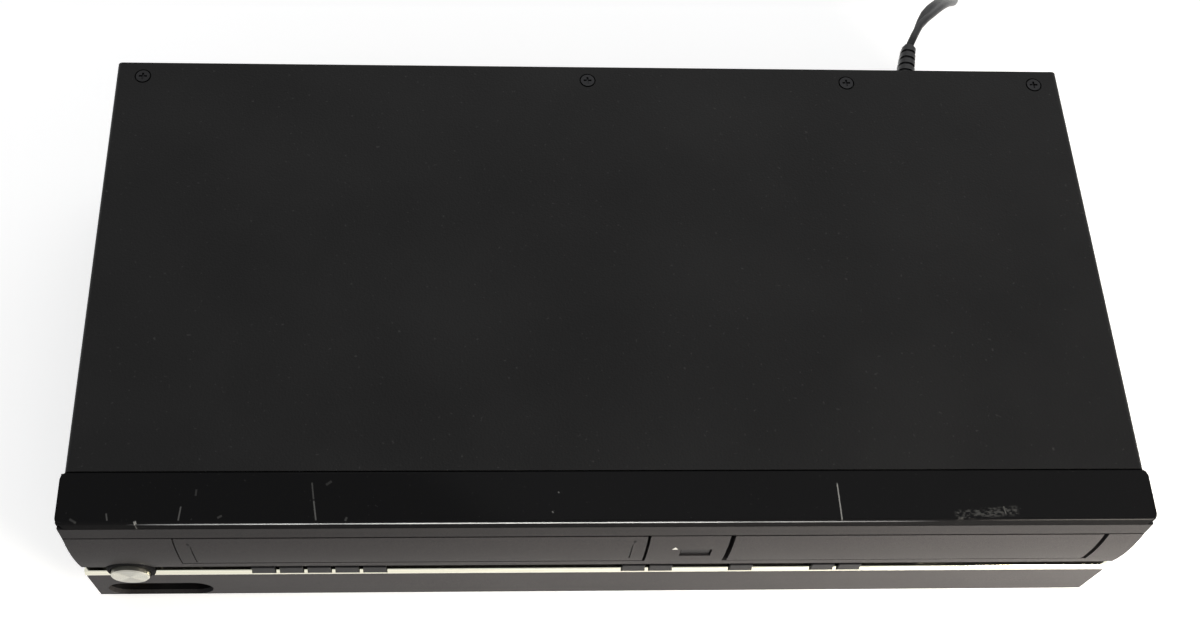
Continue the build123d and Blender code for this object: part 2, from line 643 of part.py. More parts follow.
with BuildPart() as deck_chassis:
    slab(vcr_mid - bracket_half - bracket_sheet, vcr_mid + bracket_half + bracket_sheet, deck_front,
         drum_y + 8, deck_z, deck_top)
    slab(drum_x - 38, drum_x + 38, drum_y + 8, drum_y + 34, deck_z, deck_top)
    for side in (-1, 1):
        bracket = sorted((vcr_mid + side * bracket_half, vcr_mid + side * (bracket_half + bracket_sheet)))
        slab(*bracket, deck_front, bracket_rear, deck_top, carriage_roof + 1.6)
        slab(bracket[0] - 1, bracket[1] + 1, pin_ys[0] - 2, pin_ys[1] + carriage_travel + 2,
             slot_z - slide_pin_r - pivot_gap, slot_z + slide_pin_r + pivot_gap, Mode.SUBTRACT)
        for pin_y in pin_ys:
            slab(bracket[0] - 1, bracket[1] + 1, pin_y + carriage_travel - 1.6, pin_y + carriage_travel + 1.6,
                 slot_z - slot_drop, slot_z, Mode.SUBTRACT)
    for x in (vcr_mid - bracket_half + 8, vcr_mid, vcr_mid + bracket_half - 8):
        for y in (deck_front + 10, drum_y - 2):
            rod(x, y, floor_top, deck_z, leg_r)
    for x in (vcr_mid - reel_offset, vcr_mid + reel_offset):
        rod(x, reel_y, deck_top, deck_top + 18, 2.0)
    rod(pinch_pivot.X, pinch_pivot.Y, deck_top, deck_top + 24, 2.0)
    rod(capstan_at.X, capstan_at.Y, deck_z - 0.01, deck_top + 4, 5.0)
    rod(capstan_at.X, capstan_at.Y, deck_z - 1, deck_top + 5, capstan_r + pivot_gap, Mode.SUBTRACT)
    for x in (drum_x - 44, drum_x + 44):
        rod(x, drum_y - 26, deck_top, deck_top + 26, 2.5)
keep(deck_chassis, "deck_chassis")

with BuildPart() as lower_drum:
    with BuildSketch(drum_plane):
        Circle(drum_r)
    extrude(amount=13)
    with BuildSketch(drum_plane.offset(13)):
        Circle(3.0)
    extrude(amount=15)
    rod(drum_x, drum_y, deck_top, deck_top + 10, 20.0)
keep(lower_drum, "lower_drum")

with BuildPart() as upper_drum:
    with BuildSketch(drum_plane.offset(13 + running_gap)):
        Circle(drum_r)
        Circle(3.0 + pivot_gap, mode=Mode.SUBTRACT)
    extrude(amount=13)
keep(upper_drum, "upper_drum")

for name, x in (("supply_reel", vcr_mid - reel_offset), ("take_up_reel", vcr_mid + reel_offset)):
    with BuildPart() as reel:
        rod(x, reel_y, deck_top + running_gap, deck_top + 2.8, 15.0)
        rod(x, reel_y, deck_top + 2.8, deck_top + 20, 7.0)
        for turn in range(3):
            with BuildSketch(Plane.XY.offset(deck_top + 2.8)):
                with Locations(Location((x, reel_y, 0), (0, 0, 120 * turn))):
                    with Locations((7.5, 0)):
                        Rectangle(3.0, 1.8)
            extrude(amount=14)
        rod(x, reel_y, deck_top - 1, deck_top + 18.4, 2.0 + pivot_gap, Mode.SUBTRACT)
    keep(reel, name)

with BuildPart() as capstan:
    rod(capstan_at.X, capstan_at.Y, deck_z - 6, deck_top + 34, capstan_r)
    rod(capstan_at.X, capstan_at.Y, floor_top + 2, deck_z - 2, flywheel_r)
keep(capstan, "capstan")

arm_z = deck_top + 6
with BuildPart() as pinch_arm:
    with BuildSketch(Plane.XY.offset(arm_z)):
        with BuildLine():
            Polyline(pinch_pivot + Vector(-4, 0), pinch_pivot + Vector(4, 0), roller_rest + Vector(3, 0),
                     roller_rest + Vector(-3, 0), close=True)
        make_face()
        with Locations(pinch_pivot):
            Circle(4.5)
        with Locations(roller_rest):
            Circle(3.5)
    extrude(amount=2.0)
    rod(roller_rest.X, roller_rest.Y, arm_z + 2, arm_z + 3, 2.0)
    rod(roller_rest.X, roller_rest.Y, arm_z + 3, arm_z + 18, roller_r)
    rod(pinch_pivot.X, pinch_pivot.Y, deck_top + running_gap, arm_z, 4.0)
    rod(pinch_pivot.X, pinch_pivot.Y, deck_top, arm_z + 3, 2.0 + pivot_gap, Mode.SUBTRACT)
keep(pinch_arm, "pinch_arm")

# Steel pan, rear panel and cover
pan_half = cover_width / 2 - sheet - 1.4
flange_height = 24.0
board_z = foot_height + 8.0
main_board = (disc_x - 59.0, disc_x + 59.0, face_y + 29.2, power_front - board_gap)
power_board = (disc_x - 95.0, pan_half - 7.8, power_front, rear_inner - 8.0)
rear_flange = 15.0
flange_top = unit_height - sheet - dimple_depth
screw_y = cover_back - screw_from_back
rear_screw_inset = 10.0
rear_screw_x = (rear_screw_inset - cover_width / 2, -118.0, -10.0, 100.0,
                cover_width / 2 - rear_screw_inset)
rear_screw_z = 16.0

with BuildPart() as bottom_chassis:
    slab(-pan_half, pan_half, fascia_back, rear_inner, foot_height, floor_top)
    for side in (-1, 1):
        wall = sorted((side * pan_half, side * (pan_half - chassis_sheet)))
        slab(*wall, fascia_back, rear_inner, floor_top, foot_height + flange_height)
    slab(-pan_half, pan_half, rear_inner - chassis_sheet, rear_inner, floor_top, foot_height + rear_flange)
    slab(-pan_half, pan_half, fascia_back, fascia_back + chassis_sheet, floor_top, deck_z - 2)
    for board in (main_board, power_board):
        for x in (board[0] + 5, board[1] - 5):
            for y in (board[2] + 5, board[3] - 5):
                rod(x, y, floor_top, board_z, 3.0)
    for x in rear_screw_x:
        rod_back(x, rear_screw_z, rear_inner - chassis_sheet - 1, rear_inner + 1, screw_hole_r, Mode.SUBTRACT)
    with Locations((-80, 0, foot_height + chassis_sheet / 2)):
        with GridLocations(9.0, 60.0, 14, 2):
            Box(3.0, 34.0, 4 * chassis_sheet, mode=Mode.SUBTRACT)
keep(bottom_chassis, "bottom_chassis")

jack_points = [(x, z) for x in jack_columns for z in jack_rows]
relief_x = 148.5
relief_z = unit_height - 20.0
relief_slot = 12.0
relief_slot_height = 14.0

with BuildPart() as rear_panel:
    slab(-pan_half, pan_half, rear_inner, rear_outer, foot_height, flange_top)
    slab(-pan_half, pan_half, rear_inner - 12, rear_inner, flange_top - chassis_sheet, flange_top)
    for x, z in jack_points:
        rod_back(x, z, rear_inner - 1, rear_outer + 1, insert_flange_r + 0.1, Mode.SUBTRACT)
    for z in aerial_rows:
        rod_back(aerial_x, z, rear_inner - 1, rear_outer + 1, aerial_r + 0.2, Mode.SUBTRACT)
    for x in rear_screw_x:
        rod_back(x, rear_screw_z, rear_inner - 1, rear_outer + 1, screw_hole_r, Mode.SUBTRACT)
    for x in screw_x:
        rod(x, screw_y, flange_top - 2, flange_top + 1, screw_hole_r, Mode.SUBTRACT)
    slab(relief_x - relief_slot / 2, relief_x + relief_slot / 2, rear_inner - 1, rear_outer + 1,
         relief_z - relief_slot_height / 2, relief_z + relief_slot_height / 2, Mode.SUBTRACT)
    with Locations((90, rear_outer, 44)):
        with GridLocations(6.0, 1.0, 14, 1):
            Box(2.4, 6 * chassis_sheet, 30, mode=Mode.SUBTRACT)
keep(rear_panel, "rear_panel")

cover_bottom = 8.0
cover_round = 2.4
with BuildPart() as top_cover:
    with BuildSketch(Plane.XZ.offset(-cover_back)):
        with BuildLine():
            outer = FilletPolyline((-cover_width / 2, cover_bottom), (-cover_width / 2, unit_height),
                                   (cover_width / 2, unit_height), (cover_width / 2, cover_bottom),
                                   radius=cover_round)
            offset(outer, amount=-sheet, side=Side.RIGHT)
        make_face()
    extrude(amount=cover_back - fascia_back)
    for x in screw_x:
        rod(x, screw_y, flange_top, unit_height - sheet, dimple_r + sheet)
        rod(x, screw_y, unit_height - dimple_depth, unit_height + 1, dimple_r, Mode.SUBTRACT)
        rod(x, screw_y, flange_top - 1, unit_height + 1, screw_hole_r, Mode.SUBTRACT)
keep(top_cover, "top_cover")

dimple_floor = unit_height - dimple_depth
with BuildPart() as case_screws:
    for x in screw_x:
        rod(x, screw_y, dimple_floor, dimple_floor + screw_head, screw_head_r)
        rod(x, screw_y, dimple_floor - screw_length, dimple_floor, screw_shank_r)
        for size in ((3.6, 0.9), (0.9, 3.6)):
            with Locations((x, screw_y, dimple_floor + screw_head)):
                Box(*size, 1.6, mode=Mode.SUBTRACT)
    for x in rear_screw_x:
        rod_back(x, rear_screw_z, rear_outer, rear_outer + screw_head, screw_head_r)
        rod_back(x, rear_screw_z, rear_outer - screw_length, rear_outer, screw_shank_r)
        for size in ((3.6, 0.9), (0.9, 3.6)):
            with Locations((x, rear_outer + screw_head, rear_screw_z)):
                Box(size[0], 1.6, size[1], mode=Mode.SUBTRACT)
keep(case_screws, "case_screws")

foot_r = 11.0
foot_x = cover_width / 2 - 31.0
foot_ys = (fascia_back + 18.0, rear_outer - 20.0)
with BuildPart() as rubber_feet:
    for x in (-foot_x, foot_x):
        for y in foot_ys:
            with Locations((x, y, foot_height / 2)):
                Cone(foot_r - 1.2, foot_r, foot_height)
keep(rubber_feet, "rubber_feet")

# Boards and power parts, placed from the main board's middle and the power board's front left corner
board_x, board_y = (main_board[0] + main_board[1]) / 2, (main_board[2] + main_board[3]) / 2
chips = ((-15, -8, 26, 2.6), (25, -22, 20, 2.2), (15, 30, 16, 2.2), (-33, 38, 14, 4.0))
capacitors = ((96, 24, 11.0, 30.0), (116, 16, 6.0, 20.0), (116, 32, 6.0, 20.0), (26, 18, 5.0, 18.0),
              (26, 32, 5.0, 18.0))
power_left, power_right = power_board[:2]
power_top = board_z + board_thickness

with BuildPart() as main_circuit_board:
    slab(*main_board, board_z, power_top)
    for across, back, size, height in chips:
        x, y = board_x + across, board_y + back
        slab(x - size / 2, x + size / 2, y - size / 2, y + size / 2, power_top, power_top + height)
keep(main_circuit_board, "main_circuit_board")

with BuildPart() as power_supply_board:
    slab(*power_board, board_z, power_top)
    slab(power_left + 6, power_left + 14, power_front + 8, power_front + 42, power_top, power_top + 26)
    slab(power_right - 34, power_right - 6, power_front + 30, power_front + 44, power_top, power_top + 12)
keep(power_supply_board, "power_supply_board")

with BuildPart() as transformer:
    slab(power_left + 36, power_left + 66, power_front + 12, power_front + 38, power_top, power_top + 24)
    slab(power_left + 40, power_left + 62, power_front + 9, power_front + 41, power_top + 5, power_top + 19)
keep(transformer, "transformer")

with BuildPart() as power_capacitors:
    for across, back, radius, height in capacitors:
        rod(power_left + across, power_front + back, power_top, power_top + height, radius)
keep(power_capacitors, "power_capacitors")

# Jacks
block_front = rear_inner - 9.0
with BuildPart() as rear_jack_housing:
    slab(min(jack_columns) - 8, max(jack_columns) + 8, block_front, rear_inner, min(jack_rows) - 8,
         max(jack_rows) + 8)
keep(rear_jack_housing, "rear_jack_housing")

with BuildPart() as rf_modulator:
    slab(aerial_x - 18, aerial_x + 18, rear_inner - 34, rear_inner, foot_height + rear_flange,
         max(aerial_rows) + 14)
keep(rf_modulator, "rf_modulator")

with BuildPart() as f_connectors:
    for z in aerial_rows:
        rod_back(aerial_x, z, rear_inner, unit_depth / 2, aerial_r)
        with BuildSketch(Plane.XZ.offset(-rear_outer - aerial_hex)):
            with Locations((aerial_x, z)):
                RegularPolygon(aerial_hex_r, 6)
        extrude(amount=aerial_hex)
        rod_back(aerial_x, z, unit_depth / 2 - insert_hole_depth, unit_depth / 2 + 1, 3.0, Mode.SUBTRACT)
        rod_back(aerial_x, z, unit_depth / 2 - insert_hole_depth, unit_depth / 2 - 1, 0.5)
keep(f_connectors, "f_connectors")

# Every jack as (x, z, back of its flange, direction it faces)
front_jacks = [(x, cup_z, cup_floor + cup_wall, -1) for x in front_jack_xs]
rear_jacks = [[(x, z, rear_inner, 1) for x in jack_columns] for z in reversed(jack_rows)]
colour_rows = {name: [front_jacks[index]] + rear_jacks[index]
               for index, name in enumerate(("yellow", "white", "red"))}
flange_length = chassis_sheet + insert_flange

with BuildPart() as jack_barrels:
    for row in colour_rows.values():
        for x, z, base, facing in row:
            start = base + facing * flange_length
            span = sorted((start, start + facing * barrel_length))
            rod_back(x, z, *span, barrel_r)
            rod_back(x, z, span[0] - 1, span[1] + 1, barrel_r - barrel_wall, Mode.SUBTRACT)
keep(jack_barrels, "jack_barrels")

for name, row in colour_rows.items():
    with BuildPart() as inserts:
        for x, z, base, facing in row:
            flange_end = base + facing * flange_length
            tip = flange_end + facing * (barrel_length - 0.5)
            rod_back(x, z, *sorted((base, flange_end)), insert_flange_r)
            rod_back(x, z, *sorted((flange_end, tip)), barrel_r - barrel_wall - pivot_gap)
            hole = sorted((tip - facing * insert_hole_depth, tip + facing))
            rod_back(x, z, *hole, insert_hole_r, Mode.SUBTRACT)
    keep(inserts, f"{name}_jack_inserts")

# Mains cord
cord_width = 7.0
relief_tilt = 13.5
relief_length = 29.5
relief_grip = 5.0
relief_ribs = 6
relief_base = (9.4, 12.6)
relief_tip = (6.2, 9.4)
relief_axis = Vector(sin(radians(relief_tilt)), cos(radians(relief_tilt)), 0)
relief_start = Vector(relief_x, rear_outer, relief_z)
relief_end = relief_start + relief_axis * relief_length
relief_step = (relief_length - relief_grip) / relief_ribs


def across_relief(along):
    """The plane square to the relief at a distance from the panel."""
    return Plane(origin=relief_start + relief_axis * along, x_dir=(cos(radians(relief_tilt)),
                 -sin(radians(relief_tilt)), 0), z_dir=relief_axis)


def relief_section(along):
    """Width and height of the tapering relief at a distance from the panel."""
    share = along / relief_length
    return [base + (tip - base) * share for base, tip in zip(relief_base, relief_tip)]


with BuildPart() as strain_relief:
    slab(relief_x - relief_slot / 2 + 0.1, relief_x + relief_slot / 2 - 0.1, rear_inner - 3.0, rear_outer,
         relief_z - relief_slot_height / 2 + 0.1, relief_z + relief_slot_height / 2 - 0.1)
    slab(relief_x - relief_slot / 2 - 1.5, relief_x + relief_slot / 2 + 1.5, rear_outer, rear_outer + 2.0,
         relief_z - relief_slot_height / 2 - 1.5, relief_z + relief_slot_height / 2 + 1.5)
    for rib in range(relief_ribs):
        start = relief_grip + rib * relief_step
        for offset_along, depth, shrink in ((0.0, 0.62, 0.0), (0.62, 0.38, 1.6)):
            along = start + offset_along * relief_step
            width, height = relief_section(along)
            with BuildSketch(across_relief(along)):
                RectangleRounded(width - shrink, height - shrink, (width - shrink) / 2 - 0.3)
            extrude(amount=depth * relief_step)
    with BuildSketch(across_relief(1.0)):
        RectangleRounded(*relief_section(1.0), relief_base[0] / 2 - 0.6)
    extrude(amount=relief_grip - 1.0)
keep(strain_relief, "strain_relief")

# The coil: half turns that shrink towards the middle, one climb, and half turns that grow again
tie_sheet = 0.6
coil_z = cord_width / 2 + tie_sheet + 0.1
coil_outer_r = 46.0
coil_inner_r = 27.0
coil_half_step = 3.8
coil_climb = 7.6
coil_entry = Vector(222.0, 292.0, coil_z)
coil_lead = cord_width
down_radii = [coil_outer_r - coil_half_step * turn for turn in range(5)]
up_radii = [coil_inner_r + coil_half_step * (turn + 1) for turn in range(4)]

with BuildLine() as coil_path:
    here = coil_entry
    heading = 1
    Line(here - Vector(0, coil_lead, 0), here)
    for radius in down_radii:
        across = here - Vector(2 * heading * radius, 0, 0)
        ThreePointArc(here, here + Vector(-heading * radius, heading * radius, 0), across)
        here, heading = across, -heading
    across = here + Vector(-2 * heading * coil_inner_r, 0, coil_climb)
    top = Vector(here.X - heading * coil_inner_r,
                 here.Y + heading * sqrt(coil_inner_r ** 2 + coil_climb ** 2 / 4), here.Z + coil_climb / 2)
    first = TangentArc(here, top, tangent=(0, heading, 0))
    TangentArc(top, across, tangent=first % 1)
    here, heading = across, -heading
    for radius in up_radii:
        across = here - Vector(2 * heading * radius, 0, 0)
        ThreePointArc(here, here + Vector(-heading * radius, heading * radius, 0), across)
        here, heading = across, -heading
    coil_exit = here
    Line(here, here + Vector(0, heading * coil_lead, 0))

with BuildPart() as cord_coil:
    add(coil_path.line, mode=Mode.PRIVATE)
    with BuildSketch(Plane(origin=coil_entry - Vector(0, coil_lead, 0), x_dir=(1, 0, 0), z_dir=(0, 1, 0))):
        Circle(cord_width / 2)
    sweep(path=coil_path.wire())
keep(cord_coil, "cord_coil")

coil_length = coil_path.wire().length
sample_count = 700
samples = [coil_path.wire().position_at(index / sample_count) for index in range(sample_count + 1)]
sample_step = coil_length / sample_count
skip = int(2.2 * cord_width / sample_step)
least = min((samples[a] - samples[b]).length for a in range(0, sample_count + 1, 2)
            for b in range(a + skip, sample_count + 1))
print(f"coil length {coil_length:.1f}, least gap to itself {least - cord_width:.2f}")
print(f"coil volume {cord_coil.part.volume:.0f} against {pi * cord_width ** 2 / 4 * coil_length:.0f}")


def cord_tube(points):
    """A tube of straight runs and tangent arcs through hand-chosen points, with its length."""
    points = [Vector(point) for point in points]
    radii = []
    for before, corner, after in zip(points, points[1:], points[2:]):
        turn = (corner - before).get_angle(after - corner)
        shorter = min((corner - before).length, (after - corner).length)
        radii.append(0.45 * shorter / tan(radians(turn / 2)))
    with BuildLine() as route:
        FilletPolyline(*points, radius=radii)
    direction = (points[1] - points[0]).normalized()
    with BuildSketch(Plane(origin=points[0], z_dir=direction)) as section:
        Circle(cord_width / 2)
    tube = sweep(sections=section.sketch, path=route.wire())
    print("cord radii", [round(radius, 1) for radius in radii], "length", round(route.wire().length, 1),
          "volume ratio", round(tube.volume / (pi * cord_width ** 2 / 4 * route.wire().length), 4))
    return tube


out_points = [relief_end, relief_end + relief_axis * 20.0, (170.5, 178.0, 62.0), (184.0, 196.0, 40.0),
              (199.0, 217.0, 18.0), (213.0, 239.0, 6.5), (222.0, 262.0, coil_z),
              coil_entry - Vector(0, coil_lead, 0)]
plug_height = 13.0
plug_z = plug_height / 2 + 0.3
tail_start = coil_exit + Vector(0, coil_lead, 0)
tail_drop = plug_z - tail_start.Z
tail_points = [tail_start, tail_start + Vector(0, 30, 0), tail_start + Vector(-7, 60, tail_drop * 0.4),
               tail_start + Vector(-29, 84, tail_drop * 0.8), tail_start + Vector(-60, 93, tail_drop),
               tail_start + Vector(-88, 93, tail_drop)]
with BuildPart() as power_cord:
    add(cord_tube(out_points))
    add(cord_tube(tail_points))
keep(power_cord, "power_cord")

# The tie goes round the turns on the side of the coil away from the lead
coil_centre_y = coil_entry.Y
near_left = [point for point in samples
             if abs(point.Y - coil_centre_y) < 2.2 and point.X < coil_entry.X - coil_outer_r]
tie_x0 = min(point.X for point in near_left) - cord_width / 2 - 0.3
tie_x1 = max(point.X for point in near_left) + cord_width / 2 + 0.3
tie_z0 = tie_sheet
tie_z1 = coil_z + coil_climb + cord_width / 2 + 0.3
with BuildPart() as cord_tie:
    slab(tie_x0 - tie_sheet, tie_x1 + tie_sheet, coil_centre_y - 3, coil_centre_y + 3, 0, tie_z1 + tie_sheet)
    fillet(cord_tie.edges().filter_by(Axis.Y), 2.0)
    slab(tie_x0, tie_x1, coil_centre_y - 4, coil_centre_y + 4, tie_z0, tie_z1, Mode.SUBTRACT)
keep(cord_tie, "cord_tie")

plug_length = 26.0
plug_width = 20.0
plug_start = tail_points[-1]
with BuildPart() as mains_plug:
    with BuildSketch(Plane(origin=plug_start, x_dir=(0, 1, 0), z_dir=(-1, 0, 0))):
        RectangleRounded(11.0, 9.0, 3.0)
    with BuildSketch(Plane(origin=plug_start - Vector(12, 0, 0), x_dir=(0, 1, 0), z_dir=(-1, 0, 0))):
        RectangleRounded(plug_width, plug_height, 3.0)
    loft()
    with BuildSketch(Plane(origin=plug_start - Vector(12, 0, 0), x_dir=(0, 1, 0), z_dir=(-1, 0, 0))):
        RectangleRounded(plug_width, plug_height, 3.0)
    extrude(amount=plug_length - 12)
    for side in (-1, 1):
        slab(plug_start.X - plug_length - 1, plug_start.X - plug_length + 6, plug_start.Y + side * 6.35 - 0.85,
             plug_start.Y + side * 6.35 + 0.85, plug_z - 3.3, plug_z + 3.3, Mode.SUBTRACT)
keep(mains_plug, "mains_plug")

blade_length = 17.5
with BuildPart() as plug_blades:
    for side in (-1, 1):
        slab(plug_start.X - plug_length - blade_length, plug_start.X - plug_length + 6,
             plug_start.Y + side * 6.35 - 0.75, plug_start.Y + side * 6.35 + 0.75, plug_z - 3.2, plug_z + 3.2)
keep(plug_blades, "plug_blades")
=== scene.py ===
import bpy
import bmesh
from math import cos, hypot, pi, radians, sin
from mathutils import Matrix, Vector


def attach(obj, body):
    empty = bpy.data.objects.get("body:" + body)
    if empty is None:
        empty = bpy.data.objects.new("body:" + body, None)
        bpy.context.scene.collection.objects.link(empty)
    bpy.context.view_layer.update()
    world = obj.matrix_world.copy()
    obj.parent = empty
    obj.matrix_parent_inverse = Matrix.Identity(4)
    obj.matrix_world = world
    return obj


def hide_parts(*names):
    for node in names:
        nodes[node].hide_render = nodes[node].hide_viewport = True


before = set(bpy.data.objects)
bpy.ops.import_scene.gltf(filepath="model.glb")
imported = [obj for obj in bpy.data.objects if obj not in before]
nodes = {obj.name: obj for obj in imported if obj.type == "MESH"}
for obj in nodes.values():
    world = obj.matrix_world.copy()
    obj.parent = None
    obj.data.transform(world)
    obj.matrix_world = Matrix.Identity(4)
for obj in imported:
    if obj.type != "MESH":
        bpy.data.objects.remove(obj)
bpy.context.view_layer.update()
bpy.ops.object.select_all(action="DESELECT")
print("frame loaded,", len(nodes), "nodes")

# Camera: solved from the photograph with the unit's outer size held
cameraSettings = {
    "place": (-0.0603, -0.3104, 0.6407),
    "turn": (26.99, -2.51, -1.19),
    "lens": 44.4,
    "shift": (0.055, 0.0233),
}


def placeCamera(settings):
    bpy.ops.object.camera_add(location=settings["place"], rotation=[radians(a) for a in settings["turn"]])
    camera = bpy.context.object
    camera.name = "photoCamera"
    camera.data.lens = settings["lens"]
    camera.data.shift_x, camera.data.shift_y = settings["shift"]
    camera.data.clip_start = 0.01
    bpy.context.scene.camera = camera


placeCamera(cameraSettings)


# Node helpers: a value that is a socket is linked, anything else is set
def addNode(tree, kind, options=None, **inputs):
    made = tree.nodes.new(kind)
    for key, value in (options or {}).items():
        setattr(made, key, value)
    for key, value in inputs.items():
        socket = made.inputs[key.replace("_", " ")]
        if isinstance(value, bpy.types.NodeSocket):
            tree.links.new(value, socket)
        else:
            socket.default_value = value
    return made


def sums(tree, operation, *values):
    made = tree.nodes.new("ShaderNodeMath")
    made.operation = operation
    for index, value in enumerate(values):
        if isinstance(value, bpy.types.NodeSocket):
            tree.links.new(value, made.inputs[index])
        else:
            made.inputs[index].default_value = value
    return made.outputs[0]


def spread(tree, value, fromLow, fromHigh, toLow, toHigh, smooth=False):
    options = {"interpolation_type": "SMOOTHSTEP"} if smooth else {}
    made = addNode(tree, "ShaderNodeMapRange", options, Value=value)
    for key, number in (("From Min", fromLow), ("From Max", fromHigh), ("To Min", toLow), ("To Max", toHigh)):
        made.inputs[key].default_value = number
    return made.outputs["Result"]


def blendColours(tree, share, first, second):
    made = tree.nodes.new("ShaderNodeMix")
    made.data_type = "RGBA"
    for socket, value in ((made.inputs[0], share), (made.inputs[6], first), (made.inputs[7], second)):
        if isinstance(value, bpy.types.NodeSocket):
            tree.links.new(value, socket)
        elif hasattr(value, "__len__"):
            socket.default_value = (*value, 1)
        else:
            socket.default_value = value
    return made.outputs[2]


def noise(tree, spot, scale, detail=3.0, stretch=None):
    vector = spot
    if stretch:
        vector = addNode(tree, "ShaderNodeMapping", Vector=spot, Scale=stretch).outputs[0]
    return addNode(tree, "ShaderNodeTexNoise", Vector=vector, Scale=scale, Detail=detail).outputs["Fac"]


def bumpOf(tree, height, strength, distance):
    return addNode(tree, "ShaderNodeBump", Height=height, Strength=strength, Distance=distance).outputs[0]


coatIndex = 2.4                               # fitted: a thin coat that shines evenly, also at a low angle


def startFinish(name, metallic=0.0, roughness=0.5, coat=0.0, coatRoughness=0.08, specular=0.5):
    finish = bpy.data.materials.new(name)
    finish.use_nodes = True
    tree = finish.node_tree
    shader = tree.nodes["Principled BSDF"]
    shader.inputs["Metallic"].default_value = metallic
    shader.inputs["Roughness"].default_value = roughness
    shader.inputs["Coat Weight"].default_value = coat
    shader.inputs["Coat Roughness"].default_value = coatRoughness
    if coat:
        shader.inputs["Coat IOR"].default_value = coatIndex
    shader.inputs["Specular IOR Level"].default_value = specular
    spot = tree.nodes.new("ShaderNodeTexCoord").outputs["Object"]
    return finish, tree, shader, spot


def plug(tree, shader, **sockets):
    for key, value in sockets.items():
        tree.links.new(value, shader.inputs[key.replace("_", " ")])


# Flat twin lead: its route is the cord's own line, in metres
leadSettings = {
    "width": 0.007, "lobe": 0.0018, "lobeOffset": 0.0017, "lobeArc": 276, "lobeSteps": 8,
    "length": 1.501,
    "out": [(0.15539, 0.13668, 0.074), (0.1640, 0.1545, 0.0745), (0.1805, 0.1740, 0.065),
            (0.1945, 0.1925, 0.043), (0.2045, 0.215, 0.0195), (0.215, 0.239, 0.0065),
            (0.222, 0.262, 0.0042), (0.222, 0.285, 0.0042)],
    "coilStart": (0.222, 0.292, 0.0042), "climb": 0.0076,
    "downRadii": (0.046, 0.0422, 0.0384, 0.0346, 0.0308), "innerRadius": 0.027,
    "upRadii": (0.0308, 0.0346, 0.0384, 0.0422), "perHalfTurn": 8,
    "tail": [(0.2144, 0.299, 0.0118), (0.2144, 0.329, 0.0118), (0.2074, 0.359, 0.0098),
             (0.1854, 0.383, 0.0078), (0.1544, 0.392, 0.0068), (0.1264, 0.392, 0.0068)],
    "flatFrom": 0.012, "flatBy": 0.034, "edgeFrom": 0.075, "edgeBy": 0.16,      # where it turns flat, then on edge
    "edgeTail": 0.06, "plugEnd": 0.01,
}


def coilPoints(settings):
    x, y, z = settings["coilStart"]
    count = settings["perHalfTurn"]
    outward = cos(pi / (2 * count))          # the spline runs inside its points by this share
    points, side = [], 1
    turns = [(r, 0.0) for r in settings["downRadii"]] + [(settings["innerRadius"], settings["climb"])]
    turns += [(r, 0.0) for r in settings["upRadii"]]
    for radius, climb in turns:
        centre = x - side * radius
        for step in range(count):
            share = (step + 0.5) / count
            points.append((centre + side * radius * cos(pi * share) / outward,
                           y + side * radius * sin(pi * share) / outward, z + climb * share))
        x, z, side = x - side * 2 * radius, z + climb, -side
    return points


def routeCurve(points):
    curve = bpy.data.curves.new("leadRoute", "CURVE")
    curve.dimensions = "3D"
    spline = curve.splines.new("NURBS")
    spline.points.add(len(points) - 1)
    for point, place in zip(spline.points, points):
        point.co = (*place, 1)
    spline.order_u = 3
    spline.use_endpoint_u = True
    spline.resolution_u = 5
    route = bpy.data.objects.new("leadRoute", curve)
    bpy.context.scene.collection.objects.link(route)
    line = bpy.data.meshes.new_from_object(route)
    places = [v.co.copy() for v in line.vertices]
    bpy.data.objects.remove(route)
    bpy.data.meshes.remove(line)
    return places


def twinSection(settings):
    lobe, offset, arc, steps = (settings[key] for key in ("lobe", "lobeOffset", "lobeArc", "lobeSteps"))
    ring = []
    for side in (1, -1):
        for step in range(steps + 1):
            turn = radians(arc * step / steps - arc / 2) + (0 if side > 0 else pi)
            ring.append((side * offset + lobe * cos(turn), lobe * sin(turn)))
    return ring


def easing(value, low, high):
    share = max(0.0, min(1.0, (value - low) / (high - low)))
    return share * share * (3 - 2 * share)


def makeLead(settings):
    places = routeCurve(settings["out"] + coilPoints(settings) + settings["tail"])
    along = [0.0]
    for first, second in zip(places, places[1:]):
        along.append(along[-1] + (second - first).length)
    total = along[-1]
    section = twinSection(settings)
    mesh = bmesh.new()
    rings = []
    for index, place in enumerate(places):
        ahead = (places[min(index + 1, len(places) - 1)] - places[max(index - 1, 0)]).normalized()
        level = ahead.cross(Vector((0, 0, 1))).normalized()
        upright = level.cross(ahead).normalized()
        here = along[index]
        flat = easing(here, settings["flatFrom"], settings["flatBy"])
        flat -= easing(here, settings["edgeFrom"], settings["edgeBy"])
        flat += easing(here, total - settings["edgeTail"], total - settings["plugEnd"])
        turn = radians(90) * (1 - flat)
        broad = level * cos(turn) + upright * sin(turn)
        thin = upright * cos(turn) - level * sin(turn)
        rings.append([mesh.verts.new(place + broad * a + thin * b) for a, b in section])
    for first, second in zip(rings, rings[1:]):
        for index in range(len(section)):
            after = (index + 1) % len(section)
            mesh.faces.new((first[index], first[after], second[after], second[index]))
    mesh.faces.new(rings[0][::-1])
    mesh.faces.new(rings[-1])
    bmesh.ops.recalc_face_normals(mesh, faces=mesh.faces)
    data = bpy.data.meshes.new("powerLead")
    mesh.to_mesh(data)
    mesh.free()
    data.shade_smooth()
    lead = bpy.data.objects.new("powerLead", data)
    bpy.context.scene.collection.objects.link(lead)
    print("lead", round(total, 3), "m,", len(data.polygons), "faces")
    return lead, places


powerLead, leadPlaces = makeLead(leadSettings)
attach(powerLead, "case")
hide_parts("power_cord", "cord_coil")


# Finishes, one function each, with what a user would change in the dictionary above it
noiseLow, noiseHigh = 0.3, 0.7                # where most of a noise lies


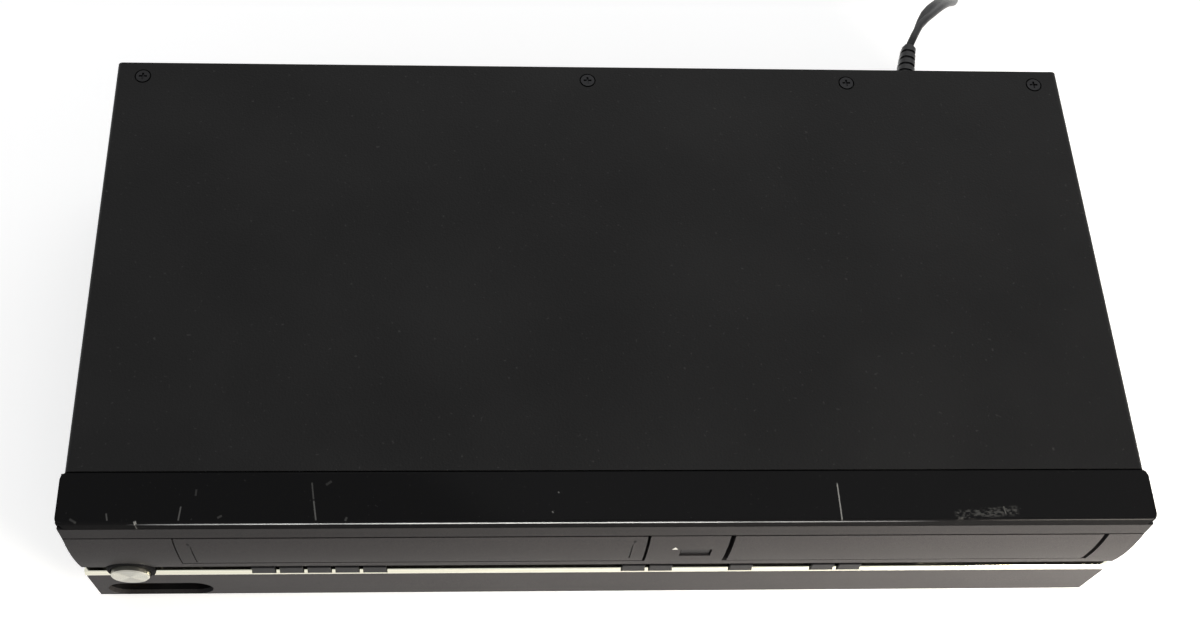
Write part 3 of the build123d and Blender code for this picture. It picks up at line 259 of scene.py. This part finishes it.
def fromNoise(tree, value, low, high):
    return spread(tree, value, noiseLow, noiseHigh, low, high)


def times(colour, factor):
    return tuple(min(1.0, c * factor) for c in colour)


def splitSpot(tree, spot):
    return addNode(tree, "ShaderNodeSeparateXYZ", Vector=spot).outputs


paintSettings = {
    "specular": 0.09, "fineScale": 2.4, "cloudScale": 14.0, "bump": 0.45, "bumpDepth": 0.00022,
    "speckScale": 620.0, "speckFrom": 0.72, "speckTo": 0.80, "speckShare": 0.22, "speckColour": (0.11, 0.11, 0.11),
}


def texturedPaint(name, dark, light, cell, roughness):
    look = paintSettings
    finish, tree, shader, spot = startFinish(name, roughness=roughness, specular=look["specular"])
    grain = addNode(tree, "ShaderNodeTexVoronoi", {"feature": "SMOOTH_F1"}, Vector=spot, Scale=cell, Smoothness=0.6)
    fine = noise(tree, spot, cell * look["fineScale"], 2.0)
    base = blendColours(tree, fromNoise(tree, noise(tree, spot, look["cloudScale"], 4.0), 0.0, 1.0), dark, light)
    speck = spread(tree, noise(tree, spot, look["speckScale"], 1.0), look["speckFrom"], look["speckTo"],
                   0.0, look["speckShare"])
    base = blendColours(tree, speck, base, look["speckColour"])
    height = sums(tree, "ADD", grain.outputs["Distance"], sums(tree, "MULTIPLY", fine, 0.5))
    plug(tree, shader, Base_Color=base, Normal=bumpOf(tree, height, look["bump"], look["bumpDepth"]),
         Roughness=fromNoise(tree, fine, roughness - 0.06, roughness + 0.08))
    return finish


def scratchMask(tree, parts, start, end, width):
    # nearness to a short line on a level surface: 1 on it, 0 beside it
    length = hypot(end[0] - start[0], end[1] - start[1])
    ux, uy = (end[0] - start[0]) / length, (end[1] - start[1]) / length
    dx = sums(tree, "SUBTRACT", parts["X"], start[0])
    dy = sums(tree, "SUBTRACT", parts["Y"], start[1])
    along = sums(tree, "ADD", sums(tree, "MULTIPLY", dx, ux), sums(tree, "MULTIPLY", dy, uy))
    across = sums(tree, "ABSOLUTE", sums(tree, "SUBTRACT", sums(tree, "MULTIPLY", dx, uy),
                                         sums(tree, "MULTIPLY", dy, ux)))
    beyond = sums(tree, "ABSOLUTE", sums(tree, "SUBTRACT", along, length / 2))
    line = spread(tree, across, width * 0.4, width, 1.0, 0.0, True)
    return sums(tree, "MULTIPLY", line, spread(tree, beyond, length * 0.42, length * 0.5, 1.0, 0.0, True))


bandSettings = {
    "coat": 0.024, "coatRoughness": 0.09, "dark": (0.0042, 0.0042, 0.0046),
    "hazeScale": 60.0, "smooth": 0.12, "hazed": 0.24, "grainScale": 1500.0, "bump": 0.08, "bumpDepth": 0.00005,
    "dust": {"scale": 900.0, "from": 0.74, "to": 0.82, "share": 0.35, "colour": (0.05, 0.05, 0.05)},
    "scratchColour": (0.24, 0.24, 0.235),
    "scratches": [                            # start, end, half width, strength
        ((0.0893, -0.0955), (0.0896, -0.1120), 0.00035, 1.0),
        ((-0.1699, -0.1108), (-0.1693, -0.1046), 0.0004, 0.35),
        ((-0.1640, -0.1005), (-0.1639, -0.0976), 0.0005, 0.12),
        ((-0.1192, -0.0948), (-0.1182, -0.1023), 0.0004, 0.22),
        ((-0.1182, -0.1023), (-0.1169, -0.1110), 0.0004, 0.4),
        ((-0.1137, -0.0961), (-0.1114, -0.0944), 0.0007, 0.10),
        ((-0.1550, -0.1096), (-0.1532, -0.1086), 0.0006, 0.14),
        ((-0.2115, -0.1097), (-0.2087, -0.1114), 0.0006, 0.15),
        ((-0.1057, -0.1111), (-0.1050, -0.1094), 0.0006, 0.16),
        ((-0.1869, -0.1115), (-0.1858, -0.1111), 0.0008, 0.9),
        ((-0.0225, -0.0992), (-0.0219, -0.0998), 0.0004, 0.4),
        ((-0.0250, -0.1073), (-0.0245, -0.1081), 0.0004, 0.5),
        ((-0.1977, -0.1074), (-0.1970, -0.1106), 0.0004, 0.3),
        ((0.1552, -0.1060), (0.1557, -0.1094), 0.0003, 0.4)],
    "scuff": {"start": (0.1345, -0.1098), "end": (0.1615, -0.1078), "half": 0.0026, "scale": 900.0,
              "from": 0.44, "to": 0.64, "colour": (0.055, 0.055, 0.054)},
    # edge: a painted highlight along the band's rounded front edge
    "edge": {"low": 0.0931, "high": 0.0936, "fadeBelow": 0.0004, "fadeAbove": 0.0003, "before": -0.1118,
             "left": -0.19, "leftFade": 0.03, "right": 0.13, "rightFade": 0.16,
             "unevenScale": 30.0, "weakest": 0.5, "colour": (0.52, 0.54, 0.58)},
}


def edgeHighlight(tree, parts, spot, edge):
    # painted, not lit: it stands for the light that the band's rounded front edge catches in the photograph
    line = sums(tree, "MULTIPLY",
                spread(tree, parts["Z"], edge["low"] - edge["fadeBelow"], edge["low"], 0.0, 1.0),
                spread(tree, parts["Z"], edge["high"], edge["high"] + edge["fadeAbove"], 1.0, 0.0))
    line = sums(tree, "MULTIPLY", line, sums(tree, "LESS_THAN", parts["Y"], edge["before"]))
    line = sums(tree, "MULTIPLY", line,
                spread(tree, parts["X"], edge["left"], edge["left"] + edge["leftFade"], 0.0, 1.0))
    line = sums(tree, "MULTIPLY", line,
                spread(tree, parts["X"], edge["right"] - edge["rightFade"], edge["right"], 1.0, 0.0))
    uneven = spread(tree, noise(tree, spot, edge["unevenScale"], 3.0), 0.3, 0.6, edge["weakest"], 1.0)
    return sums(tree, "MULTIPLY", line, uneven)


def glossBand(name):
    look = bandSettings
    finish, tree, shader, spot = startFinish(name, coat=look["coat"], coatRoughness=look["coatRoughness"],
                                             specular=0.0)
    parts = splitSpot(tree, spot)
    dust, scuff, edge = look["dust"], look["scuff"], look["edge"]
    dusted = spread(tree, noise(tree, spot, dust["scale"], 1.0), dust["from"], dust["to"], 0.0, dust["share"])
    base = blendColours(tree, dusted, look["dark"], dust["colour"])
    for start, end, width, share in look["scratches"]:
        mark = sums(tree, "MULTIPLY", scratchMask(tree, parts, start, end, width), share)
        base = blendColours(tree, mark, base, look["scratchColour"])
    patch = scratchMask(tree, parts, scuff["start"], scuff["end"], scuff["half"])
    broken = spread(tree, noise(tree, spot, scuff["scale"], 6.0, (0.6, 1.0, 1.0)), scuff["from"], scuff["to"],
                    0.0, 1.0)
    base = blendColours(tree, sums(tree, "MULTIPLY", patch, broken), base, scuff["colour"])
    base = blendColours(tree, edgeHighlight(tree, parts, spot, edge), base, edge["colour"])
    haze = noise(tree, spot, look["hazeScale"], 5.0)
    fine = noise(tree, spot, look["grainScale"], 2.0)
    plug(tree, shader, Base_Color=base, Roughness=spread(tree, haze, 0.35, 0.7, look["smooth"], look["hazed"]),
         Normal=bumpOf(tree, fine, look["bump"], look["bumpDepth"]))
    return finish


panelSettings = {
    "metallic": 0.25, "flakeScale": 2600.0, "cloudScale": 18.0, "bump": 0.06, "bumpDepth": 0.00003,
    "deep": (0.004, 0.004, 0.0045),
    "doors": (0.030, 0.056, 0.22),            # from this height to that, a share deeper than the lower face
    "trim": (0.0794, 0.0799, 0.26),           # the trim strip, deeper still
    "dots": [(-0.1693, 0.0742), (0.0094, 0.0748)], "dotRadius": 0.0008,
    "mark": {"place": (0.0266, 0.0668), "width": 0.0026, "height": 0.0022, "colour": (0.45, 0.45, 0.44)},
}


def triangleMark(tree, parts, mark):
    # a plain printed triangle beside the open/close button: 1 inside it
    x, z = mark["place"]
    aside = sums(tree, "ABSOLUTE", sums(tree, "SUBTRACT", parts["X"], x))
    up = sums(tree, "DIVIDE", sums(tree, "SUBTRACT", parts["Z"], z), mark["height"])
    room = sums(tree, "MULTIPLY", sums(tree, "SUBTRACT", 1.0, up), mark["width"] / 2)
    return sums(tree, "MULTIPLY", sums(tree, "LESS_THAN", aside, room), sums(tree, "GREATER_THAN", up, 0.0))


def dotMark(tree, parts, places, radius):
    # the small moulded dots at the heads of the cassette door's two lines
    total = 0.0
    for x, z in places:
        aside = sums(tree, "SUBTRACT", parts["X"], x)
        up = sums(tree, "MULTIPLY", sums(tree, "SUBTRACT", parts["Z"], z), 0.6)
        square = sums(tree, "ADD", sums(tree, "MULTIPLY", aside, aside), sums(tree, "MULTIPLY", up, up))
        dot = spread(tree, sums(tree, "SQRT", square), radius * 0.6, radius, 0.7, 0.0, True)
        total = sums(tree, "ADD", dot, total)
    return total


def metallicPaint(name, dark, light, roughness):
    look = panelSettings
    finish, tree, shader, spot = startFinish(name, metallic=look["metallic"], roughness=roughness, specular=0.0)
    parts = splitSpot(tree, spot)
    flake = noise(tree, spot, look["flakeScale"], 1.0)
    base = blendColours(tree, spread(tree, flake, 0.35, 0.65, 0.0, 1.0), dark, light)
    deeper = [spread(tree, parts["Z"], low, high, 0.0, share) for low, high, share in (look["doors"], look["trim"])]
    base = blendColours(tree, sums(tree, "ADD", *deeper), base, look["deep"])
    base = blendColours(tree, dotMark(tree, parts, look["dots"], look["dotRadius"]), base, look["deep"])
    base = blendColours(tree, triangleMark(tree, parts, look["mark"]), base, look["mark"]["colour"])
    plug(tree, shader, Base_Color=base, Normal=bumpOf(tree, flake, look["bump"], look["bumpDepth"]),
         Roughness=fromNoise(tree, noise(tree, spot, look["cloudScale"], 3.0), roughness - 0.03, roughness + 0.04))
    return finish


plateSettings = {"scale": 60.0, "stretch": (1.0, 18.0, 18.0), "dull": 0.9, "smoothest": 0.7, "roughest": 1.3}


def brightPlate(name, colour, roughness):
    look = plateSettings
    finish, tree, shader, spot = startFinish(name, metallic=1.0, roughness=roughness)
    streak = noise(tree, spot, look["scale"], 4.0, look["stretch"])
    base = blendColours(tree, spread(tree, streak, 0.35, 0.7, 0.0, 1.0), colour, times(colour, look["dull"]))
    plug(tree, shader, Base_Color=base,
         Roughness=fromNoise(tree, streak, roughness * look["smoothest"], roughness * look["roughest"]))
    return finish


zincSettings = {"spangleScale": 160.0, "dark": 0.86, "rollScale": 40.0, "rollStretch": (1.0, 12.0, 1.0),
                "roughness": (0.3, 0.48), "bump": 0.05, "bumpDepth": 0.0001}


def zincSteel(name, colour):
    look = zincSettings
    finish, tree, shader, spot = startFinish(name, metallic=1.0)
    spangle = addNode(tree, "ShaderNodeTexVoronoi", Vector=spot, Scale=look["spangleScale"]).outputs["Color"]
    tone = addNode(tree, "ShaderNodeSeparateColor", Color=spangle).outputs[0]
    rolled = noise(tree, spot, look["rollScale"], 5.0, look["rollStretch"])
    plug(tree, shader, Base_Color=blendColours(tree, tone, times(colour, look["dark"]), colour),
         Roughness=fromNoise(tree, rolled, *look["roughness"]),
         Normal=bumpOf(tree, rolled, look["bump"], look["bumpDepth"]))
    return finish


plasticSettings = {"cloudScale": 25.0, "bump": 0.25, "coatRoughness": 0.25}


def mouldedPlastic(name, colour, roughness=0.45, grain=1400.0, depth=0.00004, lift=1.25, specular=0.5, coat=0.0):
    look = plasticSettings
    finish, tree, shader, spot = startFinish(name, roughness=roughness, specular=specular, coat=coat,
                                             coatRoughness=look["coatRoughness"])
    fine = noise(tree, spot, grain, 2.0)
    cloud = fromNoise(tree, noise(tree, spot, look["cloudScale"], 3.0), 0.0, 1.0)
    base = blendColours(tree, cloud, colour, times(colour, lift))
    plug(tree, shader, Base_Color=base, Normal=bumpOf(tree, fine, look["bump"], depth),
         Roughness=fromNoise(tree, fine, roughness - 0.05, roughness + 0.07))
    return finish


turnedSettings = {
    "anisotropy": 0.75, "ringScale": 900.0, "wobble": 1.5, "ringShare": 0.35, "ringDark": 0.7,
    "bump": 0.12, "bumpDepth": 0.00003,
    # the last four: painted shade on the spun face, where it starts and ends, its share, how dark
    "paintedShadeFrom": -0.25, "paintedShadeTo": 0.35, "paintedShadeShare": 0.55, "paintedShadeDark": 0.42,
}


def paintedShadeMask(tree, moved, look):
    # painted shade, not lit: the darker parts, above and below the middle, of a spun face that looks along Y
    parts = splitSpot(tree, moved)
    aside, up = sums(tree, "ABSOLUTE", parts["X"]), sums(tree, "ABSOLUTE", parts["Z"])
    reach = sums(tree, "ADD", sums(tree, "ADD", up, aside), 0.0001)
    lean = sums(tree, "DIVIDE", sums(tree, "SUBTRACT", up, aside), reach)
    return spread(tree, lean, look["paintedShadeFrom"], look["paintedShadeTo"], 0.0, look["paintedShadeShare"], True)


def turnedMetal(name, colour, centre, direction, roughness, paintedShade=False):
    look = turnedSettings
    finish, tree, shader, spot = startFinish(name, metallic=1.0, roughness=roughness)
    shader.inputs["Anisotropic"].default_value = look["anisotropy"]
    tangent = addNode(tree, "ShaderNodeTangent", {"direction_type": "RADIAL", "axis": direction})
    tree.links.new(tangent.outputs[0], shader.inputs["Tangent"])
    shift = addNode(tree, "ShaderNodeVectorMath", {"operation": "SUBTRACT"})
    tree.links.new(spot, shift.inputs[0])
    shift.inputs[1].default_value = centre
    moved = shift.outputs[0]
    ring = addNode(tree, "ShaderNodeTexWave", {"wave_type": "RINGS", "rings_direction": direction}, Vector=moved,
                   Scale=look["ringScale"], Distortion=look["wobble"], Detail=2.0).outputs["Fac"]
    base = blendColours(tree, spread(tree, ring, 0.0, 1.0, 0.0, look["ringShare"]), colour,
                        times(colour, look["ringDark"]))
    # painted shade: two darker sectors, above and below the middle of the spun face
    if paintedShade:
        base = blendColours(tree, paintedShadeMask(tree, moved, look), base, times(colour, look["paintedShadeDark"]))
    plug(tree, shader, Base_Color=base, Normal=bumpOf(tree, ring, look["bump"], look["bumpDepth"]),
         Roughness=spread(tree, ring, 0.0, 1.0, roughness - 0.04, roughness + 0.05))
    return finish


boardSettings = {"top": 0.0156, "roughness": 0.42, "traceScale": 85.0, "wobble": 2.5, "patchScale": 38.0,
                 "traceFrom": 0.62, "traceTo": 0.7, "patchFrom": 0.48, "patchTo": 0.52,
                 "bump": 0.3, "bumpDepth": 0.00005}


def boardFinish(name, mask, copper, chip):
    look = boardSettings
    finish, tree, shader, spot = startFinish(name, roughness=look["roughness"])
    wave = addNode(tree, "ShaderNodeTexWave", {"bands_direction": "X"}, Vector=spot, Scale=look["traceScale"],
                   Distortion=look["wobble"], Detail=1.0).outputs["Fac"]
    patch = noise(tree, spot, look["patchScale"], 1.0)
    trace = sums(tree, "MULTIPLY", spread(tree, wave, look["traceFrom"], look["traceTo"], 0.0, 1.0),
                 spread(tree, patch, look["patchFrom"], look["patchTo"], 0.0, 1.0))
    above = spread(tree, splitSpot(tree, spot)["Z"], look["top"] + 0.0001, look["top"] + 0.0002, 0.0, 1.0)
    base = blendColours(tree, above, blendColours(tree, trace, mask, copper), chip)     # chips stand on the board
    plug(tree, shader, Base_Color=base, Normal=bumpOf(tree, trace, look["bump"], look["bumpDepth"]))
    return finish


rubberSettings = {"scale": 700.0, "light": 1.8, "roughness": (0.55, 0.72), "bump": 0.3, "bumpDepth": 0.0001}


def corkedRubber(name, colour):
    look = rubberSettings
    finish, tree, shader, spot = startFinish(name)
    fine = noise(tree, spot, look["scale"], 4.0)
    base = blendColours(tree, spread(tree, fine, 0.35, 0.65, 0.0, 1.0), colour, times(colour, look["light"]))
    plug(tree, shader, Base_Color=base, Normal=bumpOf(tree, fine, look["bump"], look["bumpDepth"]),
         Roughness=fromNoise(tree, fine, *look["roughness"]))
    return finish


knobCentre = (-0.1977, -0.1132, 0.0425)
drumCentre = (-0.0797, 0.062, 0.04)
leadVinyl = mouldedPlastic("leadVinyl", (0.011, 0.011, 0.012), 0.36, 900.0, specular=0.3)
finishes = {                                  # one for each slot of the part
    "cover_paint": texturedPaint("coverPaint", (0.0082, 0.0082, 0.0085), (0.0135, 0.0135, 0.0138), 1050.0, 0.42),
    "rear_paint": texturedPaint("rearPaint", (0.022, 0.022, 0.023), (0.028, 0.028, 0.029), 1600.0, 0.5),
    "zinc_steel": zincSteel("zincSteel", (0.62, 0.63, 0.64)),
    "gloss_black": glossBand("glossBlack"),
    "gunmetal": metallicPaint("gunmetal", (0.034, 0.033, 0.036), (0.052, 0.050, 0.051), 0.36),
    "bright_strip": brightPlate("brightStrip", (0.72, 0.705, 0.59), 0.14),
    "matt_black": mouldedPlastic("mattBlack", (0.0045, 0.0045, 0.005), 0.6, specular=0.02, coat=0.015),
    "button_black": mouldedPlastic("buttonBlack", (0.010, 0.010, 0.011), 0.32, 2200.0, specular=0.02, coat=0.04),
    "spun_metal": turnedMetal("spunMetal", (0.60, 0.59, 0.52), knobCentre, "Y", 0.3, paintedShade=True),
    "board_green": boardFinish("boardGreen", (0.02, 0.11, 0.05), (0.06, 0.24, 0.10), (0.012, 0.012, 0.013)),
    "board_tan": boardFinish("boardTan", (0.40, 0.28, 0.14), (0.52, 0.38, 0.20), (0.03, 0.03, 0.032)),
    "tray_black": mouldedPlastic("trayBlack", (0.02, 0.02, 0.021), 0.5, 1000.0, 0.00008),
    "gear_white": mouldedPlastic("gearWhite", (0.72, 0.70, 0.64), 0.4, 900.0, 0.00003, 1.08),
    "pickup_grey": mouldedPlastic("pickupGrey", (0.08, 0.08, 0.088), 0.45),
    "drum_aluminium": turnedMetal("drumAluminium", (0.78, 0.78, 0.79), drumCentre, "Z", 0.22),
    "screw_black": zincSteel("screwBlack", (0.022, 0.022, 0.023)),
    "foot_rubber": corkedRubber("footRubber", (0.018, 0.018, 0.018)),
    "transformer_yellow": mouldedPlastic("transformerTape", (0.70, 0.52, 0.10), 0.35),
    "capacitor_black": mouldedPlastic("capacitorSleeve", (0.02, 0.022, 0.045), 0.3),
    "nickel": brightPlate("nickelPlate", (0.75, 0.73, 0.68), 0.2),
    "jack_yellow": mouldedPlastic("jackYellow", (0.80, 0.55, 0.04), 0.38, 1200.0, 0.00003, 1.1),
    "jack_white": mouldedPlastic("jackWhite", (0.80, 0.80, 0.77), 0.38, 1200.0, 0.00003, 1.05),
    "jack_red": mouldedPlastic("jackRed", (0.58, 0.022, 0.022), 0.38, 1200.0, 0.00003, 1.15),
    "cord_black": leadVinyl,
}
pressButtons = [n for n in nodes if n.endswith("_button") and n != "power_button"]
nodeSlots = {
    "cover_paint": ["top_cover"],
    "rear_paint": ["rear_panel"],
    "zinc_steel": ["bottom_chassis", "deck_chassis", "rf_modulator", "cassette_carriage"],
    "gloss_black": ["front_fascia"],
    "gunmetal": ["upper_trim", "upper_front_panel", "lower_front_panel", "cassette_door", "tray_door"],
    "bright_strip": ["chrome_strip"],
    "matt_black": ["jack_recess", "power_ring", "rear_jack_housing", "dvd_loader_frame"],
    "button_black": pressButtons,
    "spun_metal": ["power_button"],
    "board_green": ["main_circuit_board"],
    "board_tan": ["front_circuit_board", "power_supply_board"],
    "tray_black": ["disc_tray", "turntable", "disc_clamp", "supply_reel", "take_up_reel"],
    "gear_white": ["tray_gear"],
    "pickup_grey": ["laser_pickup"],
    "drum_aluminium": ["upper_drum", "lower_drum"],
    "screw_black": ["case_screws"],
    "foot_rubber": ["rubber_feet"],
    "transformer_yellow": ["transformer"],
    "capacitor_black": ["power_capacitors"],
    "nickel": ["jack_barrels", "f_connectors", "plug_blades", "capstan", "pinch_arm", "traverse_frame"],
    "jack_yellow": ["yellow_jack_inserts"],
    "jack_white": ["white_jack_inserts"],
    "jack_red": ["red_jack_inserts"],
    "cord_black": ["strain_relief", "mains_plug", "cord_tie", "power_cord", "cord_coil"],
}


def dress(piece, finish):
    piece.data.materials.clear()
    piece.data.materials.append(finish)


for slot, members in nodeSlots.items():
    for member in members:
        dress(nodes[member], finishes[slot])
dress(powerLead, leadVinyl)
print("finishes on", sum(len(m) for m in nodeSlots.values()), "nodes")


# Studio: pale floor, soft lamps, white surround
studioSettings = {
    "floor": 8.0, "lift": 0.5, "floorWhite": 0.88, "floorRoughness": 0.9, "floorSpecular": 0.1,
    "key": {"place": (0.42, -0.46, 0.15), "aim": (0.15, -0.11, 0.04), "size": 0.3, "power": 8.0,
            "colour": (1.0, 0.92, 0.80)},
    "fill": {"place": (-1.3, -0.6, 1.5), "aim": (0.0, 0.0, 0.05), "size": 1.2, "power": 4.0,
             "colour": (0.96, 0.98, 1.0)},
    "top": {"place": (0.6, 1.3, 1.6), "aim": (0.1, 0.0, 0.05), "size": 2.2, "power": 8.0,
            "colour": (1.0, 1.0, 1.0)},
    "world": 0.42,                            # for plain light; what is seen of it is white
}


def softLamp(name, settings):
    bpy.ops.object.light_add(type="AREA", location=settings["place"])
    lamp = bpy.context.object
    lamp.name = name
    lamp.data.shape = "DISK"
    lamp.data.size = settings["size"]
    lamp.data.energy = settings["power"]
    lamp.data.color = settings["colour"]
    lamp.visible_camera = False
    lamp.rotation_euler = (Vector(settings["aim"]) - Vector(settings["place"])).to_track_quat("-Z", "Y").to_euler()


def seenRays(tree):
    # 1 for what the camera, glass or a polished face shows, 0 for plain light
    rays = tree.nodes.new("ShaderNodeLightPath")
    seen = sums(tree, "MAXIMUM", rays.outputs["Is Camera Ray"], rays.outputs["Is Transmission Ray"])
    return sums(tree, "MAXIMUM", seen, rays.outputs["Is Glossy Ray"])


def paleFloor(settings):
    bpy.ops.mesh.primitive_plane_add(size=settings["floor"], location=(0, 0, 0))
    floor = bpy.context.object
    floor.name = "studioFloor"
    finish = bpy.data.materials.new("studioWhite")
    finish.use_nodes = True
    tree = finish.node_tree
    shader = tree.nodes["Principled BSDF"]
    shader.inputs["Base Color"].default_value = (settings["floorWhite"],) * 3 + (1,)
    shader.inputs["Roughness"].default_value = settings["floorRoughness"]
    shader.inputs["Specular IOR Level"].default_value = settings["floorSpecular"]
    tree.links.new(sums(tree, "MULTIPLY", seenRays(tree), settings["lift"]), shader.inputs["Emission Strength"])
    shader.inputs["Emission Color"].default_value = (1, 1, 1, 1)
    dress(floor, finish)


def whiteWorld(strength):
    world = bpy.data.worlds.new("studioWorld")
    bpy.context.scene.world = world
    world.use_nodes = True
    tree = world.node_tree
    back = tree.nodes["Background"]
    back.inputs["Color"].default_value = (1, 1, 1, 1)
    tree.links.new(spread(tree, seenRays(tree), 0.0, 1.0, strength, 1.0), back.inputs["Strength"])


for lampName in ("key", "fill", "top"):
    softLamp(lampName + "Lamp", studioSettings[lampName])
paleFloor(studioSettings)
whiteWorld(studioSettings["world"])
bpy.context.scene.view_settings.view_transform = "Standard"
print("studio lit")
